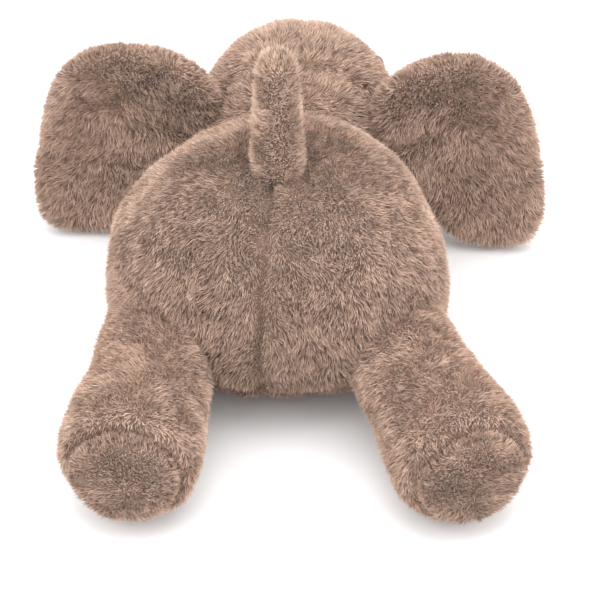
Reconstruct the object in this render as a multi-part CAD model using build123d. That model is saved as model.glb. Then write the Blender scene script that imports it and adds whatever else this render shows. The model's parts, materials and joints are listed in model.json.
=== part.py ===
from build123d import *
import os
from math import asin, cos, degrees, pi, radians, sin

# A stuffed elephant that lies on its belly, sewn from short-pile plush over soft filling.
# Millimetres. While it is drawn, x = 0 is the middle of the body, +Y points to the trunk and z = 0 is
# the surface it lies on. At the end every piece moves by one step, so that the origin is at the bottom
# centre of the whole toy.

# ---- cloth and joints ----
cover = 3.0                 # plush cover: backing cloth and pressed pile
gap = 0.5                   # room between a limb and the socket it turns in

# ---- body ----
body_half_width = 85.0
body_half_height = 60.0
belly_press = 1.5           # how much of the belly is pressed flat where it lies
body_rear = -60.0           # rearmost point of the rump
body_front = 112.0          # end of the neck, inside the head's hollow
body_widths = [(0, 0.16), (0.035, 0.38), (0.12, 0.66), (0.25, 0.91), (0.41, 1.0), (0.60, 0.92), (0.80, 0.64),
               (0.92, 0.40), (1, 0.16)]   # half-width along the body, rump to neck, as a share
seam_height = 22.0          # seam between the back panels and the belly panel
pouch_half = (22.0, 36.0, 13.0)
pouch_centre = (0.0, 18.0, 24.0)

# ---- head ----
head_centre = (0.0, 121.0, 63.0)
head_radius = 57.0
chin_drop = 33.0            # from the head's centre down to the chin
nape_seam = 100.0           # seam behind the ears, in Y
chin_seam = 48.0            # seam round the chin, in z
eye_radius = 4.5
eye_bearing = 44.0          # from straight ahead to each side
eye_height = 17.0           # above the head's centre
shank_radius = 1.5
shank_length = 9.0
washer_radius = 6.0
washer_thickness = 1.2
washer_depth = 2.4          # from the inside of the cover to the middle of the washer
bead_flat = 0.8             # how far behind its centre the bead is cut flat

# ---- trunk ----
trunk_pivot = (0.0, 166.0, 44.0)
trunk_root = 21.0
trunk_tip = 15.5
trunk_length = 79.0
floor_gap = 0.3             # between the resting trunk and the floor
trunk_slant = degrees(asin((trunk_pivot[2] - trunk_tip - floor_gap) / (trunk_length - trunk_tip)))
trunk_lift = 25.0

# ---- ears: outline in the ear's own plane, outward from the root and up from the floor ----
ear_outline = [(6, 56), (2, 84), (14, 110), (34, 121), (58, 124), (82, 112), (98, 84), (101, 54),
               (96, 26), (84, 5), (71, 0.8), (60, 7), (52, 26), (36, 47), (18, 51)]
ear_reach = {"left": 1.0, "right": 0.90}
ear_yaw = {"left": 5.0, "right": 11.0}     # how far the outer rim stands forward of the root
ear_root = (44.0, 104.0)                   # hinge line: distance from the middle, and Y
ear_half_thickness = 11.0
ear_hinge_height = 60.0
ear_gap = 3.0               # between the head and an ear, so that the ear can flap

# ---- legs: pivot, bearing outward of straight, length from pivot to sole, radii ----
sole_dome = 5.0
hind_leg = {"pivot_z": 34.5, "root": 25.5, "shin": 26.5, "foot": 34.5, "length": 124.0, "sole": 28.5}
hind_pivot = {"left": (-54.0, -12.0), "right": (55.0, -6.0)}
hind_bearing = {"left": -1.0, "right": 19.0}
hind_limits = (-5.0, 35.0)                 # bearings the leg can reach
fore_leg = {"pivot_z": 22.5, "root": 16.5, "shin": 17.0, "foot": 22.5, "length": 108.0, "sole": 18.5}
fore_pivot = {"left": (-44.0, 62.0), "right": (44.0, 62.0)}
fore_bearing = {"left": 15.0, "right": 13.0}
fore_limits = (9.0, 21.0)                  # bearings the foreleg can reach

# ---- tail ----
tail_pivot = (1.0, 4.0, 122.5)
tail_root = 14.0
tail_tip = 11.0
tail_length = 60.0

side_sign = {"left": -1, "right": 1}
big = 600.0


def half_space(axis, at, keep):
    """A large block that keeps one side of a plane: axis 0, 1 or 2, keep +1 or -1."""
    centre = [0.0, 0.0, 0.0]
    centre[axis] = at + keep * big / 2
    return Pos(*centre) * Box(big, big, big)


def body_shape(skin=0.0):
    """The pear-shaped body, skin millimetres inside its outer surface, as a loft of ellipses."""
    rear = body_rear + skin
    length = body_front - skin - rear
    rings = []
    for place, width in body_widths:
        ring = Ellipse(max(body_half_width * width - skin, 3), max(body_half_height * width - skin, 2))
        level = body_half_height - belly_press
        rings.append(Pos(0, rear + length * place, level) * Rot(90, 0, 0) * ring)
    return loft([Sketch() + ring for ring in rings]) & half_space(2, max(skin, 0), 1)


def head_shape(skin=0.0):
    """A round crown over a flatter chin. Every level section is a circle, so the neck's hollow fits
    it however the head turns."""
    ball = Sphere(head_radius - skin)
    crown = ball & half_space(2, 0, 1)
    chin = scale(ball, by=(1, 1, (chin_drop - skin) / (head_radius - skin))) & half_space(2, 0, -1)
    return Pos(*head_centre) * (crown + chin)


def limb_shape(leg, skin=0.0):
    """A leg along +Y from its ball-shaped root at the origin to a slightly domed sole."""
    root = leg["root"] - skin
    shin = leg["shin"] - skin
    foot = leg["foot"] - skin
    end = leg["length"] - skin
    sole = leg["sole"] - skin / 2
    dome_radius = (sole ** 2 + sole_dome ** 2) / (2 * sole_dome)
    halfway = (sole / 2, end - dome_radius + (dome_radius ** 2 - sole ** 2 / 4) ** 0.5)
    slant = cos(pi / 4)
    ball = ThreePointArc((0, -root), (root * slant, -root * slant), (root, 0))
    calf = Spline((root, 0), (shin, 0.42 * end), (foot, 0.84 * end), tangents=[(0, 1), (0, 1)])
    rim = Spline((foot, 0.84 * end), (sole, end - sole_dome), tangents=[(0, 1), (-1, 0.15)])
    face = ThreePointArc((sole, end - sole_dome), halfway, (0, end))
    return revolve(make_face([ball, calf, rim, face, Line((0, end), (0, -root))]), Axis.Y, 360)


def limb_slot(leg, first, last):
    """All the room a leg needs near its root as it swings from bearing first to bearing last."""
    reach = 75.0
    half = leg["shin"] + gap
    middle = (first + last) / 2
    swing = radians(last - first) / 2
    tip = reach * cos(swing)
    wedge = Polyline((0, 0), (tip, -reach * sin(swing)), (tip, reach * sin(swing)), close=True)
    plan = Rot(0, 0, middle) * make_face(wedge) + Circle(half)
    for bearing in (first, last):
        plan += Rot(0, 0, bearing) * Pos(reach / 2, 0) * Rectangle(reach, 2 * half)
    slot = extrude(plan, half, both=True)
    return fillet(slot.faces().sort_by(Axis.Z)[-1].outer_wire().edges(), half * 0.55)


def place_limb(shape, leg, pivot, direction):
    """Stand a limb at its pivot, pointing along direction, in degrees from +X."""
    return Pos(pivot[0], pivot[1], leg["pivot_z"]) * Rot(0, 0, direction - 90) * shape


def hind_direction(side, bearing):
    return -90 + side_sign[side] * bearing


def fore_direction(side, bearing):
    return 90 - side_sign[side] * bearing


def limb_room(leg, pivot, directions):
    """The hole that a body needs for a limb that swings between two directions."""
    first, last = sorted(directions)
    return Pos(pivot[0], pivot[1], leg["pivot_z"]) * limb_slot(leg, first, last)


def rod_shape(root, tip, length, skin=0.0):
    """A blunt soft rod along +Y from its ball-shaped root at the origin to its rounded tip."""
    root_in = root - skin
    tip_in = tip - skin
    top = length - tip
    slant = cos(pi / 4)
    ball = ThreePointArc((0, -root_in), (root_in * slant, -root_in * slant), (root_in, 0))
    shaft = Spline((root_in, 0), (tip_in * 1.06, top * 0.6), (tip_in, top), tangents=[(0, 1), (0, 1)])
    cap = ThreePointArc((tip_in, top), (tip_in * slant, top + tip_in * slant), (0, top + tip_in))
    return revolve(make_face([ball, shaft, cap, Line((0, top + tip_in), (0, -root_in))]), Axis.Y, 360)


def trunk_shape(skin=0.0):
    """The trunk slants down from the face until its tip lies on the floor."""
    rod = rod_shape(trunk_root, trunk_tip, trunk_length, skin)
    return Pos(*trunk_pivot) * Rot(-trunk_slant, 0, 0) * rod


def trunk_room():
    """The socket in the face, with room to lift the trunk."""
    room = Pos(*trunk_pivot) * Sphere(trunk_root + gap)
    for lift in (0, trunk_lift):
        tube = Pos(0, 20, 0) * Rot(90, 0, 0) * Cylinder(trunk_root + 2 * gap, 40)
        room += Pos(*trunk_pivot) * Rot(lift - trunk_slant, 0, 0) * tube
    return room


def tail_shape(skin=0.0):
    """The tail stands upright on the rump."""
    return Pos(*tail_pivot) * Rot(90, 0, 0) * rod_shape(tail_root, tail_tip, tail_length, skin)


def ear_pad(side, skin=0.0):
    """One ear as a thick rounded pad in the XZ plane, its hinge line at the origin."""
    sign = side_sign[side]
    reach = ear_reach[side]
    middle_u = 52.0
    middle_z = 62.0
    levels = [(-1.0, 0.80), (-0.68, 0.94), (0.0, 1.0), (0.68, 0.94), (1.0, 0.80)]
    rings = []
    for depth, size in levels:
        size_in = size * (1 - skin / middle_z)
        points = [((middle_u + (u - middle_u) * size_in) * reach * sign, middle_z + (z - middle_z) * size_in)
                  for u, z in ear_outline]
        ring = make_face(Spline(*points, periodic=True))
        rings.append(Pos(0, depth * (ear_half_thickness - skin), 0) * Rot(90, 0, 0) * ring)
    return loft([Sketch() + ring for ring in rings])


def place_ear(shape, side):
    """Stand an ear at its hinge line, its outer rim turned forward."""
    sign = side_sign[side]
    return Pos(sign * ear_root[0], ear_root[1], 0) * Rot(0, 0, sign * ear_yaw[side]) * shape


def eye_parts(side):
    """A safety eye: a bead with its shank, and the washer that holds it inside the cover."""
    bead = Sphere(eye_radius) & half_space(1, -bead_flat, 1)
    shank = Pos(0, -shank_length / 2 - bead_flat, 0) * Rot(90, 0, 0) * Cylinder(shank_radius, shank_length)
    washer = Pos(0, -cover - washer_depth, 0) * Rot(90, 0, 0) * Cylinder(washer_radius, washer_thickness)
    across = (head_radius ** 2 - eye_height ** 2) ** 0.5
    turn = -side_sign[side] * eye_bearing
    seat = Pos(head_centre[0], head_centre[1], head_centre[2] + eye_height) * Rot(0, 0, turn) * Pos(0, across, 0)
    bead = bead + shank
    return seat * bead, seat * (washer - bead)


def one_solid(shape):
    """The piece itself, without crumbs that a socket cuts loose at its edge."""
    return shape.solids().sort_by(SortBy.VOLUME)[-1]


pieces = {}

# ---- body: cut the sockets that the legs, the tail and the head turn in ----
rooms = [head_shape(-gap), Pos(*tail_pivot) * Sphere(tail_root + gap)]
for side in ("left", "right"):
    rooms.append(limb_room(hind_leg, hind_pivot[side], [hind_direction(side, b) for b in hind_limits]))
    rooms.append(limb_room(fore_leg, fore_pivot[side], [fore_direction(side, b) for b in fore_limits]))

body_inner = body_shape(cover)
body_cover = body_shape() - body_inner
back_cover = body_cover & half_space(2, seam_height, 1)
pouch = Pos(*pouch_centre) * scale(Sphere(1), by=pouch_half)
body_parts = {"body_left_panel": back_cover & half_space(0, 0, -1),
              "body_right_panel": back_cover & half_space(0, 0, 1),
              "belly_panel": body_cover & half_space(2, seam_height, -1),
              "body_filling": body_inner - pouch}
for name, shape in body_parts.items():
    for room in rooms:
        shape = shape - room
    pieces[name] = shape
pieces["bead_pouch"] = pouch

# ---- head, with its eyes and the socket for the trunk ----
head_outer = head_shape()
head_inner = head_shape(cover)
head_cuts = [trunk_room()]
for side in ("left", "right"):
    bead, washer = eye_parts(side)
    pieces["eye_" + side] = bead
    pieces["eye_washer_" + side] = washer
    head_cuts += [bead, washer]
head_cover = head_outer - head_inner
for cut in head_cuts:
    head_cover = head_cover - cut
    head_inner = head_inner - cut
face_cover = head_cover & half_space(1, nape_seam, 1)
upper_face = face_cover & half_space(2, chin_seam, 1)
pieces["head_left_panel"] = upper_face & half_space(0, 0, -1)
pieces["head_right_panel"] = upper_face & half_space(0, 0, 1)
pieces["head_back_panel"] = head_cover & half_space(1, nape_seam, -1)
pieces["chin_panel"] = face_cover & half_space(2, chin_seam, -1)
pieces["head_filling"] = head_inner

# ---- trunk ----
trunk_inner = trunk_shape(cover)
trunk_cover = trunk_shape() - trunk_inner
pieces["trunk_left_panel"] = trunk_cover & half_space(0, 0, -1)
pieces["trunk_right_panel"] = trunk_cover & half_space(0, 0, 1)
pieces["trunk_filling"] = trunk_inner

# ---- tail ----
tail_inner = tail_shape(cover)
tail_cover = tail_shape() - tail_inner
pieces["tail_left_panel"] = tail_cover & half_space(0, tail_pivot[0], -1)
pieces["tail_right_panel"] = tail_cover & half_space(0, tail_pivot[0], 1)
pieces["tail_filling"] = tail_inner

# ---- ears ----
ear_clear = head_shape(-ear_gap)
for side in ("left", "right"):
    ear_inner = ear_pad(side, cover)
    ear_cover = ear_pad(side) - ear_inner
    name = "ear_" + side
    pieces[name + "_back_cover"] = place_ear(ear_cover & half_space(1, 0, -1), side) - ear_clear
    pieces[name + "_front_cover"] = place_ear(ear_cover & half_space(1, 0, 1), side) - ear_clear
    pieces[name + "_wadding"] = place_ear(ear_inner, side) - ear_clear

# ---- legs ----
leg_sets = [("hind_leg_", hind_leg, hind_pivot, hind_bearing, hind_direction),
            ("foreleg_", fore_leg, fore_pivot, fore_bearing, fore_direction)]
for prefix, leg, pivots, bearings, direction in leg_sets:
    leg_inner = limb_shape(leg, cover)
    leg_cover = limb_shape(leg) - leg_inner
    sole_room = Pos(0, leg["length"], 0) * Rot(90, 0, 0) * Cylinder(leg["sole"], 30)
    for side in ("left", "right"):
        towards = direction(side, bearings[side])
        name = prefix + side
        pieces[name + "_sleeve"] = place_limb(leg_cover - sole_room, leg, pivots[side], towards)
        pieces[name + "_sole"] = place_limb(leg_cover & sole_room, leg, pivots[side], towards)
        pieces[name + "_filling"] = place_limb(leg_inner, leg, pivots[side], towards)

# ---- bring the origin to the bottom centre of the toy and write every piece ----
solids = {name: one_solid(shape) for name, shape in pieces.items()}
boxes = [solid.bounding_box() for solid in solids.values()]
low = [min(getattr(box.min, axis) for box in boxes) for axis in "XYZ"]
high = [max(getattr(box.max, axis) for box in boxes) for axis in "XYZ"]
step = (-(low[0] + high[0]) / 2, -(low[1] + high[1]) / 2, -low[2])
os.makedirs("parts", exist_ok=True)
for name, solid in solids.items():
    export_step(solid.moved(Location(step)), "parts/" + name + ".step")

print("size", [round(high[i] - low[i], 2) for i in range(3)])
print("step", *[round(v, 3) for v in step])
joints = {"head": head_centre, "trunk": trunk_pivot, "tail": tail_pivot}
for side in ("left", "right"):
    joints["ear_" + side] = (side_sign[side] * ear_root[0], ear_root[1], ear_hinge_height)
    joints["hind_leg_" + side] = (*hind_pivot[side], hind_leg["pivot_z"])
    joints["foreleg_" + side] = (*fore_pivot[side], fore_leg["pivot_z"])
for name, pivot in joints.items():
    print("pivot", name, [round((pivot[i] + step[i]) / 1000, 5) for i in range(3)])
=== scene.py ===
import bpy
import json
import math
import numpy as np
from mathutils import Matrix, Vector


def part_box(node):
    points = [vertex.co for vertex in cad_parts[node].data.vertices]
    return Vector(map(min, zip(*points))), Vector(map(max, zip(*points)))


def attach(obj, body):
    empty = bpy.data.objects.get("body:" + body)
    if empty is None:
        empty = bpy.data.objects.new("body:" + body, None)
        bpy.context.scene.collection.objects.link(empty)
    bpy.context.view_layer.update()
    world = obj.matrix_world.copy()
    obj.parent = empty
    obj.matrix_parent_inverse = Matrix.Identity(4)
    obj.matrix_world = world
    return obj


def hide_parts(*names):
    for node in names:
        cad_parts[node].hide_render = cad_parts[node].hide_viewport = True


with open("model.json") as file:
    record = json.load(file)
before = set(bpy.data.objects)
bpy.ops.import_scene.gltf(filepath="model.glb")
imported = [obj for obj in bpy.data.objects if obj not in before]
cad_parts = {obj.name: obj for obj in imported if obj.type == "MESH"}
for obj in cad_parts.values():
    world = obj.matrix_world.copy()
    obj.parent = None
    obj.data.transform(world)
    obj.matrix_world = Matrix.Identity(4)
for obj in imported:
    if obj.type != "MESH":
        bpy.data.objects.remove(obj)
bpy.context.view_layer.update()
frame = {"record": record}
joints = {joint["name"]: joint for joint in frame["record"]["behaviour"]["joints"]}
mm = 0.001


def pivotOf(name):  # a joint's place, in metres
    return np.array(joints[name]["pos_m"], dtype=float)


centreX = pivotOf("head_turn")[0]
headPivot = pivotOf("head_turn")

# ---- what a user would change ----
pile = {"length": 4.2 * mm, "width": 0.40 * mm, "perSquareMm": 2.5, "lean": 0.6, "stray": 0.6,
        "clumpSize": 3.4 * mm}
# the root colours are painted shade deep in the pile; the tip colours are the fur's own
plushLook = {"root": (0.15, 0.088, 0.06), "tip": (0.70, 0.505, 0.40), "sheen": 0.75, "roughness": 0.8}
tailLook = {"root": (0.20, 0.125, 0.088), "tip": (0.80, 0.60, 0.48)}
bodyForm = {"halfWidth": 81 * mm, "rise": 70 * mm, "drop": 43 * mm, "waist": 45 * mm,
            "rear": -55 * mm, "front": 112 * mm}
headForm = {"radius": 51 * mm, "crown": 54 * mm, "chin": 32 * mm}
earForm = {"thick": 8.5 * mm, "cup": 9 * mm}
seamHeight = 22 * mm
bodyBehindHead = 121 * mm   # from the head's pivot back to the body's own zero
napeBehindHead = 21 * mm
floorClear = 1.2 * mm
earHalf = 0.05              # half an ear, the size its cup and taper are worked out from
legSplay = {"left": -3 * mm, "right": 8 * mm}   # how far each hind foot is set outward
cameraSet = {"lens": 120.0, "elevation": 38.0, "azimuth": 5.5, "distance": 0.985}


# ---- small tools ----
def smoothNoise(points, size, seed=0):  # value noise, -1 to 1
    p = points / size + seed * 17.31
    cell = np.floor(p).astype(np.int64)
    f = p - cell
    f = f * f * (3 - 2 * f)
    total = np.zeros(len(points))
    for dx in (0, 1):
        for dy in (0, 1):
            for dz in (0, 1):
                c = cell + np.array([dx, dy, dz])
                h = (c[:, 0] * 374761393 + c[:, 1] * 668265263 + c[:, 2] * 2147483647 + seed * 144665) & 0x7fffffff
                h = ((h ^ (h >> 13)) * 1274126177) & 0x7fffffff
                value = (h ^ (h >> 16)) / 0x3fffffff - 1.0
                w = (f[:, 0] if dx else 1 - f[:, 0]) * (f[:, 1] if dy else 1 - f[:, 1])
                total += value * w * (f[:, 2] if dz else 1 - f[:, 2])
    return total


def meshFrom(name, verts, faces, material, smooth=True):
    me = bpy.data.meshes.new(name)
    me.from_pydata([tuple(v) for v in verts], [], faces)
    me.update()
    if smooth:
        me.polygons.foreach_set("use_smooth", [True] * len(me.polygons))
    me.materials.append(material)
    ob = bpy.data.objects.new(name, me)
    bpy.context.scene.collection.objects.link(ob)
    return ob


def closedTube(rings):  # rings of equal count, closed at both ends by a pole
    count = len(rings[0])
    verts = [rings[0].mean(axis=0)]
    for ring in rings:
        verts.extend(ring)
    verts.append(rings[-1].mean(axis=0))
    faces = [(0, 1 + (j + 1) % count, 1 + j) for j in range(count)]
    for i in range(len(rings) - 1):
        a = 1 + i * count
        b = a + count
        faces += [(a + j, a + (j + 1) % count, b + (j + 1) % count, b + j) for j in range(count)]
    last = len(verts) - 1
    a = 1 + (len(rings) - 1) * count
    faces += [(last, a + j, a + (j + 1) % count) for j in range(count)]
    return np.array(verts), faces


def trianglesOf(faces):
    out = []
    for f in faces:
        out.append((f[0], f[1], f[2]))
        if len(f) == 4:
            out.append((f[0], f[2], f[3]))
    return np.array(out)


def vertexNormals(verts, faces):
    tris = trianglesOf(faces)
    a, b, c = verts[tris[:, 0]], verts[tris[:, 1]], verts[tris[:, 2]]
    n = np.cross(b - a, c - a)
    out = np.zeros_like(verts)
    for k in range(3):
        np.add.at(out, tris[:, k], n)
    return out / (np.linalg.norm(out, axis=1)[:, None] + 1e-12)


def outwardFaces(verts, faces):  # turns the faces round if they look inward
    normals = vertexNormals(verts, faces)
    if ((verts - verts.mean(axis=0)) * normals).sum() < 0:
        faces = [tuple(reversed(face)) for face in faces]
    return verts, faces


def plump(verts, faces, depth=1.3 * mm, size=26 * mm, seed=3):  # soft uneven filling under the cloth
    normals = vertexNormals(verts, faces)
    lump = smoothNoise(verts, size, seed) + 0.5 * smoothNoise(verts, size * 0.45, seed + 1)
    return verts + normals * (lump * depth)[:, None]


def furOver(name, verts, faces, material, flow, scale=1.0, density=1.0, shorten=None, seed=0,
            paintedShading=None):  # tapering blades rooted in the cloth, gathered in clumps
    local = np.random.default_rng(100 + seed)
    tris = trianglesOf(faces)
    normals = vertexNormals(verts, faces)
    a, b, c = verts[tris[:, 0]], verts[tris[:, 1]], verts[tris[:, 2]]
    area = np.linalg.norm(np.cross(b - a, c - a), axis=1) / 2
    count = int(area.sum() * 1e6 * pile["perSquareMm"] * density)
    pick = local.choice(len(tris), size=count, p=area / area.sum())
    r1 = np.sqrt(local.random(count))
    r2 = local.random(count)
    w = np.stack([1 - r1, r1 * (1 - r2), r1 * r2], 1)
    corner = tris[pick]
    root = (verts[corner] * w[:, :, None]).sum(1)
    normal = (normals[corner] * w[:, :, None]).sum(1)
    normal /= np.linalg.norm(normal, axis=1)[:, None] + 1e-12
    along = flow(root, normal)
    along -= normal * (along * normal).sum(1)[:, None]
    along /= np.linalg.norm(along, axis=1)[:, None] + 1e-9
    across = np.cross(normal, along)
    swirl = smoothNoise(root, pile["clumpSize"] * 3.2, seed + 5) * 1.3
    swirl += smoothNoise(root, pile["clumpSize"], seed + 6) * 0.8
    flowDir = along * np.cos(swirl)[:, None] + across * np.sin(swirl)[:, None]
    lean = pile["lean"] * (1 + 0.55 * smoothNoise(root, pile["clumpSize"] * 1.7, seed + 7))
    jitter = local.normal(size=(count, 3)) * pile["stray"] * 0.5
    direction = normal + flowDir * lean[:, None] + jitter
    direction /= np.linalg.norm(direction, axis=1)[:, None]
    length = pile["length"] * scale * (0.72 + 0.5 * local.random(count))
    if shorten is not None:
        length *= shorten(root)
    side = np.cross(direction, normal + local.normal(size=(count, 3)) * 0.8)
    side /= np.linalg.norm(side, axis=1)[:, None] + 1e-9
    half = pile["width"] / 2 * (0.75 + 0.5 * local.random(count))
    bend = flowDir * (length * 0.22)[:, None]
    start = root - normal * 0.6 * mm
    belly = root + direction * (length * 0.5)[:, None] + bend * 0.3
    tip = root + direction * length[:, None] + bend
    for points in (start, belly, tip):
        points[:, 2] = np.maximum(points[:, 2], 0.4 * mm)
    stack = np.stack([start, belly - side * half[:, None], tip, belly + side * half[:, None]], 1).reshape(-1, 3)
    me = bpy.data.meshes.new(name)
    me.vertices.add(count * 4)
    me.vertices.foreach_set("co", stack.ravel())
    me.loops.add(count * 4)
    me.loops.foreach_set("vertex_index", np.arange(count * 4, dtype=np.int32))
    me.polygons.add(count)
    me.polygons.foreach_set("loop_start", np.arange(0, count * 4, 4, dtype=np.int32))
    me.update(calc_edges=True)
    me.polygons.foreach_set("use_smooth", [True] * count)
    # reach runs from 0 at the root to 1 at the tip and drives the painted shade of the darker roots
    reach = np.tile(np.array([0.0, 0.5, 1.0, 0.5]), count)
    me.attributes.new("reach", 'FLOAT', 'POINT').data.foreach_set("value", reach.astype(np.float32))
    fleck = smoothNoise(root, 1.8 * mm, seed + 9) * 0.6 + smoothNoise(root, 9 * mm, seed + 10) * 0.22
    # painted shading is taken off the tone, so shaded fur leans to the dark root colour and lit fur to the tip
    # colour
    if paintedShading is not None:
        fleck = fleck - paintedShading(root)
    tone = np.repeat(np.clip(0.5 + fleck + 0.35 * (local.random(count) - 0.5), 0, 1), 4)
    me.attributes.new("tone", 'FLOAT', 'POINT').data.foreach_set("value", tone.astype(np.float32))
    grid = int(math.ceil(math.sqrt(count)))
    cx = (np.arange(count) % grid) / grid
    cy = (np.arange(count) // grid) / grid
    du = np.array([0.5, 0.2, 0.5, 0.8]) / grid
    dv = np.array([0.1, 0.5, 0.9, 0.5]) / grid
    uv = np.stack([cx[:, None] + du, cy[:, None] + dv], 2).reshape(-1)
    layer = me.uv_layers.new(name="OFBake")
    layer.data.foreach_set("uv", uv.astype(np.float32))
    me.materials.append(material)
    me.validate()
    ob = bpy.data.objects.new(name, me)
    bpy.context.scene.collection.objects.link(ob)
    return ob


# ---- materials ----
def pileColourGroup():  # one effect for every plush material: painted shade in the darker roots deep in the pile, paler tips, soft mottling
    g = bpy.data.node_groups.new("pileColour", "ShaderNodeTree")
    for label, kind, value in (("Reach", "NodeSocketFloat", 0.5), ("Tone", "NodeSocketFloat", 0.5),
                               ("Root", "NodeSocketColor", (0.1, 0.07, 0.05, 1)),
                               ("Tip", "NodeSocketColor", (0.5, 0.4, 0.33, 1)),
                               ("Mottle Scale", "NodeSocketFloat", 60.0)):
        s = g.interface.new_socket(name=label, in_out='INPUT', socket_type=kind)
        s.default_value = value
    g.interface.new_socket(name="Color", in_out='OUTPUT', socket_type="NodeSocketColor")
    nodes, links = g.nodes, g.links
    gin = nodes.new("NodeGroupInput")
    gout = nodes.new("NodeGroupOutput")
    coord = nodes.new("ShaderNodeTexCoord")
    noise = nodes.new("ShaderNodeTexNoise")
    noise.inputs["Detail"].default_value = 3.0
    links.new(coord.outputs["Object"], noise.inputs["Vector"])
    links.new(gin.outputs["Mottle Scale"], noise.inputs["Scale"])
    shift = nodes.new("ShaderNodeMath")
    shift.operation = 'MULTIPLY_ADD'
    links.new(noise.outputs["Fac"], shift.inputs[0])
    shift.inputs[1].default_value = 0.4
    shift.inputs[2].default_value = -0.2
    toneShift = nodes.new("ShaderNodeMath")
    toneShift.operation = 'MULTIPLY_ADD'
    links.new(gin.outputs["Tone"], toneShift.inputs[0])
    toneShift.inputs[1].default_value = 0.75
    toneShift.inputs[2].default_value = -0.34
    addA = nodes.new("ShaderNodeMath")
    links.new(gin.outputs["Reach"], addA.inputs[0])
    links.new(shift.outputs[0], addA.inputs[1])
    addB = nodes.new("ShaderNodeMath")
    addB.use_clamp = True
    links.new(addA.outputs[0], addB.inputs[0])
    links.new(toneShift.outputs[0], addB.inputs[1])
    mix = nodes.new("ShaderNodeMix")
    mix.data_type = 'RGBA'
    links.new(addB.outputs[0], mix.inputs["Factor"])
    links.new(gin.outputs["Root"], mix.inputs["A"])
    links.new(gin.outputs["Tip"], mix.inputs["B"])
    links.new(mix.outputs["Result"], gout.inputs["Color"])
    return g


pileGroup = pileColourGroup()


def plushMaterial(name, look, onBlades):
    mat = bpy.data.materials.new(name)
    mat.use_nodes = True
    nodes, links = mat.node_tree.nodes, mat.node_tree.links
    shader = nodes["Principled BSDF"]
    group = nodes.new("ShaderNodeGroup")
    group.node_tree = pileGroup
    group.inputs["Root"].default_value = (*look["root"], 1)
    group.inputs["Tip"].default_value = (*look["tip"], 1)
    if onBlades:
        for label in ("reach", "tone"):
            attribute = nodes.new("ShaderNodeAttribute")
            attribute.attribute_name = label
            links.new(attribute.outputs["Fac"], group.inputs[label.capitalize()])
    else:
        # the backing cloth takes almost the root colour: painted shade under the pile
        group.inputs["Reach"].default_value = 0.12
    links.new(group.outputs["Color"], shader.inputs["Base Color"])
    shader.inputs["Roughness"].default_value = plushLook["roughness"]
    shader.inputs["Sheen Weight"].default_value = plushLook["sheen"]
    shader.inputs["Sheen Roughness"].default_value = 0.45
    shader.inputs["Sheen Tint"].default_value = (1.0, 0.87, 0.78, 1)
    shader.inputs["Specular IOR Level"].default_value = 0.15
    if not onBlades:
        weave = nodes.new("ShaderNodeTexNoise")
        weave.inputs["Scale"].default_value = 900.0
        bump = nodes.new("ShaderNodeBump")
        bump.inputs["Strength"].default_value = 0.3
        bump.inputs["Distance"].default_value = 0.0006
        links.new(weave.outputs["Fac"], bump.inputs["Height"])
        links.new(bump.outputs["Normal"], shader.inputs["Normal"])
    return mat


clothMat = plushMaterial("plushBacking", plushLook, False)
furMat = plushMaterial("plushPile", plushLook, True)
tailFurMat = plushMaterial("tailPile", tailLook, True)


# ---- camera, floor and light ----
def makeCamera():
    data = bpy.data.cameras.new("viewCamera")
    data.lens = cameraSet["lens"]
    data.sensor_width = 36.0
    camera = bpy.data.objects.new("viewCamera", data)
    bpy.context.scene.collection.objects.link(camera)
    e, a = math.radians(cameraSet["elevation"]), math.radians(cameraSet["azimuth"])
    back = Vector((math.sin(a) * math.cos(e), -math.cos(a) * math.cos(e), math.sin(e)))
    target = Vector((centreX + 0.012, headPivot[1] - bodyBehindHead, 0.040))
    camera.location = target + back * cameraSet["distance"]
    camera.rotation_euler = (-back).to_track_quat('-Z', 'Y').to_euler()
    bpy.context.scene.camera = camera


def softBox(name, place, size, power, aim=(0, 0, 0.05)):
    data = bpy.data.lights.new(name, 'AREA')
    data.size = size
    data.energy = power
    lamp = bpy.data.objects.new(name, data)
    bpy.context.scene.collection.objects.link(lamp)
    lamp.location = place
    lamp.rotation_euler = (Vector(aim) - Vector(place)).to_track_quat('-Z', 'Y').to_euler()


def makeStudio():
    mat = bpy.data.materials.new("paleFloor")
    mat.use_nodes = True
    shader = mat.node_tree.nodes["Principled BSDF"]
    shader.inputs["Base Color"].default_value = (0.88, 0.88, 0.885, 1)
    shader.inputs["Roughness"].default_value = 0.7
    shader.inputs["Specular IOR Level"].default_value = 0.2
    shader.inputs["Emission Color"].default_value = (1, 1, 1, 1)
    shader.inputs["Emission Strength"].default_value = 0.02
    half = 4.0
    floor = meshFrom("floor", [(-half, -half, 0), (half, -half, 0), (half, half, 0), (-half, half, 0)],
                     [(0, 1, 2, 3)], mat, smooth=False)
    softBox("topLight", (0.1, 0.1, 1.5), 1.6, 20)
    softBox("keyLight", (-0.9, -0.9, 1.1), 1.2, 12)
    softBox("fillLight", (1.1, -0.7, 0.9), 1.2, 9)
    world = bpy.data.worlds.new("softWorld")
    world.use_nodes = True
    world.node_tree.nodes["Background"].inputs["Color"].default_value = (1, 1, 1, 1)
    world.node_tree.nodes["Background"].inputs["Strength"].default_value = 1.05
    bpy.context.scene.world = world


makeCamera()
makeStudio()
bpy.context.scene.view_settings.view_transform = 'Standard'
print("stage: camera and light")


def furnish(name, body, nodes, verts, faces, flow, fur=furMat, scale=1.0, density=1.0, shorten=None,
            seed=0, paintedShading=None):  # the cloth skin and its pile, both on one body
    skin = meshFrom(name + "_cloth", verts, faces, clothMat)
    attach(skin, body)
    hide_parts(*nodes)
    hair = furOver(name + "_pile", verts, faces, fur, flow, scale, density, shorten, seed, paintedShading)
    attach(hair, body)
    print("made", name, len(hair.data.polygons))


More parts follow.
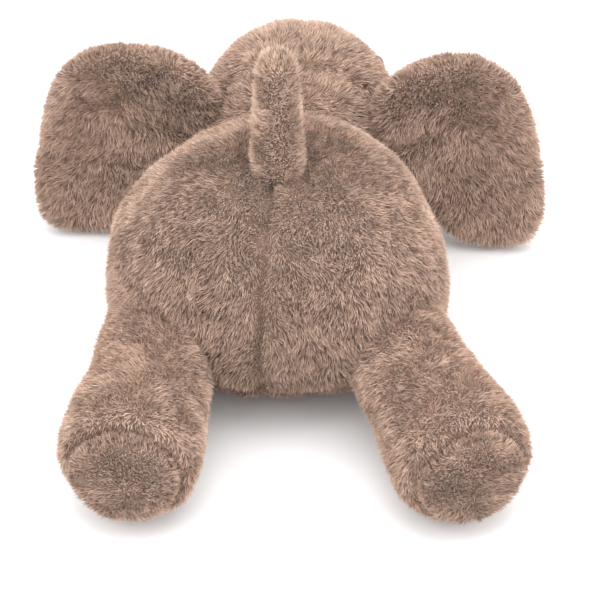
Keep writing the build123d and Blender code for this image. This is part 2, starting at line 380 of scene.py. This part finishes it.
def seamGroove(distance, depth, width=3.0 * mm):
    return -depth * np.exp(-(distance / width) ** 2)


def towards(*direction):
    d = np.array(direction, dtype=float)
    return lambda root, normal: np.tile(d, (len(root), 1))


# ---- body ----
def makeBody():
    f = bodyForm
    rows, count = 64, 96
    start = headPivot[1] - bodyBehindHead
    rings = []
    for i in range(rows):
        s = 0.5 - 0.5 * math.cos(math.pi * (i + 0.6) / (rows + 0.2))
        y = f["rear"] + (f["front"] - f["rear"]) * s
        k = (y - 10 * mm) / ((f["front"] - 10 * mm) if y > 10 * mm else (10 * mm - f["rear"]))
        size = (1 - abs(k) ** (2.25 if k < 0 else 1.9)) ** (0.5 if k < 0 else 0.62)
        t = np.linspace(0, 2 * math.pi, count, endpoint=False)
        power = np.where(np.sin(t) < 0, 2 / 2.7, 2 / 2.1)
        x = f["halfWidth"] * size * np.sign(np.cos(t)) * np.abs(np.cos(t)) ** power
        height = np.where(np.sin(t) < 0, f["drop"], f["rise"])
        z = f["waist"] + height * size ** 0.92 * np.sign(np.sin(t)) * np.abs(np.sin(t)) ** power
        rings.append(np.stack([centreX + x, np.full(count, start + y), z], 1))
    verts, faces = outwardFaces(*closedTube(rings))
    verts = plump(verts, faces, 2.2 * mm, 34 * mm, 3)
    normals = vertexNormals(verts, faces)
    centreSeam = np.abs(verts[:, 0] - centreX + 1.5 * mm * np.sin(verts[:, 1] / 0.02))
    behind = (verts[:, 2] > seamHeight) & (verts[:, 1] < start + 60 * mm)
    bellySeam = np.abs(verts[:, 2] - seamHeight)
    push = np.where(behind, seamGroove(centreSeam, 3.2 * mm), 0) + seamGroove(bellySeam, 7.0 * mm, 3.2 * mm)
    verts = verts + normals * push[:, None]
    verts[:, 2] = np.maximum(verts[:, 2], floorClear)

    def shorten(root):
        wander = 1.5 * mm * np.sin(root[:, 1] / 0.02)
        d = np.minimum(np.abs(root[:, 0] - centreX + wander), np.abs(root[:, 2] - seamHeight) * 0.8)
        return 0.3 + 0.7 * np.clip(d / (5 * mm), 0, 1)

    # painted shade: darker fur down the middle of the rear, leaving the flanks paler, and darker fur in the belly
    # seam groove
    def paintedShading(root):
        middle = np.exp(-((root[:, 0] - centreX) / (42 * mm)) ** 2) * (root[:, 1] < start + 40 * mm)
        belly = np.exp(-((root[:, 2] - seamHeight) / (3.5 * mm)) ** 2)
        return 0.34 * middle + 0.5 * belly

    def flow(root, normal):
        return np.stack([(root[:, 0] - centreX) * 6, np.full(len(root), -0.7), np.full(len(root), -0.6)], 1)
    furnish("body", "torso", ["body_left_panel", "body_right_panel", "belly_panel", "body_filling", "bead_pouch"],
            verts, faces, flow, shorten=shorten, seed=1, paintedShading=paintedShading)


# ---- head ----
def makeHead():
    f = headForm
    rows, count = 44, 80
    rings = []
    for i in range(rows):
        a = -math.pi / 2 + math.pi * (i + 0.7) / (rows + 0.4)
        height = f["crown"] if a > 0 else f["chin"]
        t = np.linspace(0, 2 * math.pi, count, endpoint=False)
        radius = f["radius"] * math.cos(a)
        muzzle = 1 + 0.06 * np.clip(np.sin(t), 0, 1) ** 4 * (1 if a < 0.3 else 0.4)
        rings.append(np.stack([headPivot[0] + radius * np.cos(t), headPivot[1] + radius * np.sin(t)
                               * muzzle, np.full(count, headPivot[2] + height * math.sin(a))], 1))
    verts, faces = outwardFaces(*closedTube(rings))
    verts = plump(verts, faces, 1.4 * mm, 30 * mm, 8)
    normals = vertexNormals(verts, faces)
    top = verts[:, 2] > headPivot[2]
    centre = np.abs(verts[:, 0] - headPivot[0])
    nape = np.abs(verts[:, 1] - (headPivot[1] - napeBehindHead))
    push = np.where(top & (verts[:, 1] > headPivot[1] - napeBehindHead), seamGroove(centre, 1.8 * mm), 0)
    push = push + np.where(top, seamGroove(nape, 2.6 * mm), 0)
    verts = verts + normals * push[:, None]

    def flow(root, normal):
        return np.stack([(root[:, 0] - headPivot[0]) * 8, np.full(len(root), 0.5), np.full(len(root), -0.5)], 1)
    furnish("head", "head", ["head_left_panel", "head_right_panel", "head_back_panel", "chin_panel",
                             "head_filling", "eye_washer_left", "eye_washer_right"], verts, faces, flow, seed=2)


# ---- tubes: legs, trunk, tail ----
def tubeAlong(start, direction, stations, up=(0, 0, 1), count=56):  # stations: distance, radius, drop
    d = np.array(direction, dtype=float)
    d /= np.linalg.norm(d)
    sideways = np.cross(d, np.array(up, dtype=float))
    sideways /= np.linalg.norm(sideways)
    lift = np.cross(sideways, d)
    t = np.linspace(0, 2 * math.pi, count, endpoint=False)
    rings = []
    for distance, radius, drop in stations:
        c = np.array(start) + d * distance - np.array((0, 0, 1.0)) * drop
        ring = c + np.outer(np.cos(t) * radius, sideways) + np.outer(np.sin(t) * radius, lift)
        rings.append(ring)
    return outwardFaces(*closedTube(rings))


def smoothStations(keys, steps):
    d = np.array([k[0] for k in keys])
    r = np.array([k[1] for k in keys])
    h = np.array([k[2] for k in keys])
    s = np.linspace(0, 1, steps)
    u = np.linspace(0, 1, len(keys))

    def ease(values):
        out = np.interp(s, u, values)
        for _ in range(3):
            out[1:-1] = (out[:-2] + 2 * out[1:-1] + out[2:]) / 4
        return out
    return list(zip(ease(d), ease(r), ease(h)))


def makeLeg(name, body, node, pivot, direction, keys, soleAt, soleRadius, seed):
    verts, faces = tubeAlong(pivot, direction, smoothStations(keys, 60))
    verts = plump(verts, faces, 1.5 * mm, 24 * mm, seed)
    normals = vertexNormals(verts, faces)
    d = np.array(direction) / np.linalg.norm(direction)
    along = (verts - np.array(pivot)) @ d
    radial = np.linalg.norm((verts - np.array(pivot)) - np.outer(along, d), axis=1)
    end = along.max()
    ringSeam = np.where(along > end - 16 * mm, np.abs(radial - soleRadius), 1.0)
    verts = verts + normals * seamGroove(ringSeam, 5.5 * mm, 2.4 * mm)[:, None]
    verts[:, 2] = np.maximum(verts[:, 2], floorClear)

    def shorten(root):
        a = (root - np.array(pivot)) @ d
        r = np.linalg.norm((root - np.array(pivot)) - np.outer(a, d), axis=1)
        near = np.where(a > end - 14 * mm, np.abs(r - soleRadius), 1.0)
        face = np.where((a > end - 9 * mm) & (r < soleRadius), 0.85, 1.0)
        return face * (0.35 + 0.65 * np.clip(near / (4 * mm), 0, 1))

    # painted light: the leg tube is set lighter; painted shade: darker fur in the sole seam groove; the flat sole
    # is set darker
    def paintedShading(root):
        a = (root - np.array(pivot)) @ d
        r = np.linalg.norm((root - np.array(pivot)) - np.outer(a, d), axis=1)
        onSole = (a > end - 9 * mm) & (r < soleRadius)
        ring = np.where(a > end - 14 * mm, np.exp(-((r - soleRadius) / (2.2 * mm)) ** 2), 0)
        return np.where(onSole, 0.16, -0.14) + 0.45 * ring

    def flow(root, normal):
        a = (root - np.array(pivot)) @ d
        off = (root - np.array(pivot)) - np.outer(a, d)
        onSole = (a > end - 9 * mm) & (np.linalg.norm(off, axis=1) < soleRadius)
        upward = off / soleRadius + np.array((0, 0, 0.8))
        return np.where(onSole[:, None], upward, np.tile(d, (len(root), 1)) + np.array((0, 0, -0.3)))
    furnish(name, body, [node + "_sleeve", node + "_sole", node + "_filling"], verts, faces, flow,
            shorten=shorten, seed=seed, paintedShading=paintedShading)


def makeLegs():
    for side, sign in (("left", -1), ("right", 1)):
        box = [np.array(v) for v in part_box("hind_leg_" + side + "_sole")]
        pivot = pivotOf("hind_leg_" + side + "_swing")
        soleCentre = (box[0] + box[1]) / 2
        direction = soleCentre - pivot
        direction[0] += legSplay[side]
        direction[2] = 0
        length = np.linalg.norm(direction) + 4 * mm
        keys = [(-18 * mm, 10 * mm, 0), (-12 * mm, 19 * mm, 2 * mm), (0, 24 * mm, 2 * mm),
                (24 * mm, 25 * mm, 2 * mm), (50 * mm, 26 * mm, 1 * mm), (76 * mm, 28 * mm, 0),
                (98 * mm, 30 * mm, 0), (length - 12 * mm, 29.5 * mm, 0), (length - 5 * mm, 25 * mm, 0),
                (length - 2 * mm, 16 * mm, 0), (length - 1 * mm, 4 * mm, 0)]
        makeLeg("hindLeg_" + side, "hind_leg_" + side, "hind_leg_" + side, pivot, direction, keys, length, 26 * mm,
                20 + sign)
        box = [np.array(v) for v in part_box("foreleg_" + side + "_sole")]
        pivot = pivotOf("foreleg_" + side + "_swing")
        direction = (box[0] + box[1]) / 2 - pivot
        direction[2] = 0
        length = np.linalg.norm(direction) + 3 * mm
        keys = [(-12 * mm, 6 * mm, 0), (-7 * mm, 12 * mm, 1 * mm), (0, 15 * mm, 2 * mm),
                (40 * mm, 16 * mm, 2 * mm), (70 * mm, 18 * mm, 1 * mm), (92 * mm, 20.5 * mm, 0),
                (length - 8 * mm, 19 * mm, 0), (length - 3 * mm, 13 * mm, 0), (length - 1 * mm, 3 * mm, 0)]
        makeLeg("foreleg_" + side, "foreleg_" + side, "foreleg_" + side, pivot, direction, keys, length, 17 * mm,
                30 + sign)


def makeTrunk():
    pivot = pivotOf("trunk_lift")
    box = [np.array(v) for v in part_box("trunk_filling")]
    tip = np.array((pivot[0], box[1][1] - 12 * mm, 14 * mm))
    direction = tip - pivot
    length = np.linalg.norm(direction)
    keys = [(-16 * mm, 7 * mm, 0), (-9 * mm, 15 * mm, 0), (0, 19 * mm, 0), (18 * mm, 16.5 * mm, 1.5 * mm),
            (36 * mm, 14 * mm, 2 * mm), (50 * mm, 12.5 * mm, 1 * mm), (length, 11.5 * mm, 0),
            (length + 6 * mm, 9 * mm, 0), (length + 9 * mm, 3 * mm, 0)]
    verts, faces = tubeAlong(pivot, direction, smoothStations(keys, 48))
    verts = plump(verts, faces, 0.8 * mm, 18 * mm, 40)
    verts[:, 2] = np.maximum(verts[:, 2], floorClear)
    furnish("trunk", "trunk", ["trunk_left_panel", "trunk_right_panel", "trunk_filling"], verts, faces,
            towards(*direction), seed=40)


def makeTail():
    pivot = pivotOf("tail_sway")
    box = [np.array(v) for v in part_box("tail_left_panel")]
    top = box[1][2]
    length = top - pivot[2]
    keys = [(-14 * mm, 9 * mm, 0), (-6 * mm, 10.5 * mm, 0), (6 * mm, 9.6 * mm, 0), (24 * mm, 8.6 * mm, 0),
            (length - 20 * mm, 7.6 * mm, 0), (length - 11 * mm, 6.6 * mm, 0), (length - 7 * mm, 4.5 * mm, 0),
            (length - 5.5 * mm, 1.5 * mm, 0)]
    verts, faces = tubeAlong(pivot, (0, 0, 1), smoothStations(keys, 40), up=(0, 1, 0), count=40)
    furnish("tail", "tail", ["tail_left_panel", "tail_right_panel", "tail_filling"], verts, faces,
            towards(0, 0, 1), fur=tailFurMat, scale=0.95, density=1.3, seed=41)


# ---- ears ----
def earOutline(reach, steps):
    keys = [(-2, 62), (-10, 86), (-9, 110), (14, 126), (49, 127), (75, 111), (90, 84), (98, 54), (102, 26),
            (96, 4), (78, -3), (56, -1), (40, 8), (25, 28), (8, 46)]
    keys = np.array(keys, dtype=float) * mm
    n = len(keys)
    out = []
    for i in range(n):
        p0, p1, p2, p3 = keys[i - 1], keys[i], keys[(i + 1) % n], keys[(i + 2) % n]
        for t in np.linspace(0, 1, steps, endpoint=False):
            out.append(0.5 * (2 * p1 + (p2 - p0) * t + (2 * p0 - 5 * p1 + 4 * p2 - p3) * t ** 2
                              + (3 * p1 - p0 - 3 * p2 + p3) * t ** 3))
    out = np.array(out)
    out[:, 0] *= reach
    return out


def makeEar(side, sign, reach, yaw, seed):
    pivot = pivotOf("ear_" + side + "_flap")
    outline = earOutline(reach, 6)
    centre = outline.mean(axis=0)
    rings = []
    levels = 22
    for i in range(levels):
        a = math.pi * (i + 0.5) / levels
        spread = math.sin(a) ** 0.55
        depth = -math.cos(a)
        pts = centre + (outline - centre) * (1 - 6 * mm / earHalf) * spread
        far = np.linalg.norm(pts - centre, axis=1) / earHalf
        y = earForm["thick"] * np.sign(depth) * abs(depth) ** 0.8 * (0.75 + 0.35 * np.clip(far, 0, 1))
        y = y - earForm["cup"] * (far ** 2 - 0.35)
        crease = np.exp(-((pts[:, 1] - 66 * mm - 0.25 * pts[:, 0]) / (5 * mm)) ** 2)
        fold = crease * np.clip(1 - pts[:, 0] / 0.055, 0, 1)
        y = y + 8 * mm * fold
        rings.append(np.stack([sign * pts[:, 0], y, pts[:, 1]], 1))
    verts, faces = closedTube(rings)
    angle = math.radians(sign * yaw)
    c, s = math.cos(angle), math.sin(angle)
    turned = np.stack([verts[:, 0] * c - verts[:, 1] * s, verts[:, 0] * s + verts[:, 1] * c, verts[:, 2]], 1)
    verts = turned + np.array((pivot[0], pivot[1], 0))
    verts, faces = outwardFaces(verts, faces)
    verts = plump(verts, faces, 1.3 * mm, 28 * mm, seed)
    verts[:, 2] = np.maximum(verts[:, 2], 1.5 * mm)
    middle = verts.mean(axis=0)

    def flow(root, normal):
        out = root - middle
        out[:, 1] *= 0.2
        out[:, 2] -= 0.02
        return out
    furnish("ear_" + side, "ear_" + side, ["ear_" + side + "_back_cover", "ear_" + side + "_front_cover",
                                           "ear_" + side + "_wadding"], verts, faces, flow, scale=1.05, seed=seed)


# ---- eyes ----
def makeEyeMaterial():
    mat = bpy.data.materials.new("eyeGloss")
    mat.use_nodes = True
    nodes, links = mat.node_tree.nodes, mat.node_tree.links
    shader = nodes["Principled BSDF"]
    noise = nodes.new("ShaderNodeTexNoise")
    noise.inputs["Scale"].default_value = 400.0
    ramp = nodes.new("ShaderNodeValToRGB")
    ramp.color_ramp.elements[0].color = (0.006, 0.004, 0.003, 1)
    ramp.color_ramp.elements[1].color = (0.016, 0.011, 0.009, 1)
    links.new(noise.outputs["Fac"], ramp.inputs["Fac"])
    links.new(ramp.outputs["Color"], shader.inputs["Base Color"])
    shader.inputs["Roughness"].default_value = 0.08
    shader.inputs["Coat Weight"].default_value = 0.6
    return mat


makeBody()
makeHead()
makeLegs()
makeTrunk()
makeTail()
makeEar("left", -1, 1.0, 5.0, 51)
makeEar("right", 1, 0.90, 11.0, 52)
eyeMat = makeEyeMaterial()
for side in ("left", "right"):
    for slot in bpy.data.objects["eye_" + side].material_slots:
        slot.material = eyeMat
print("stage: pieces made")
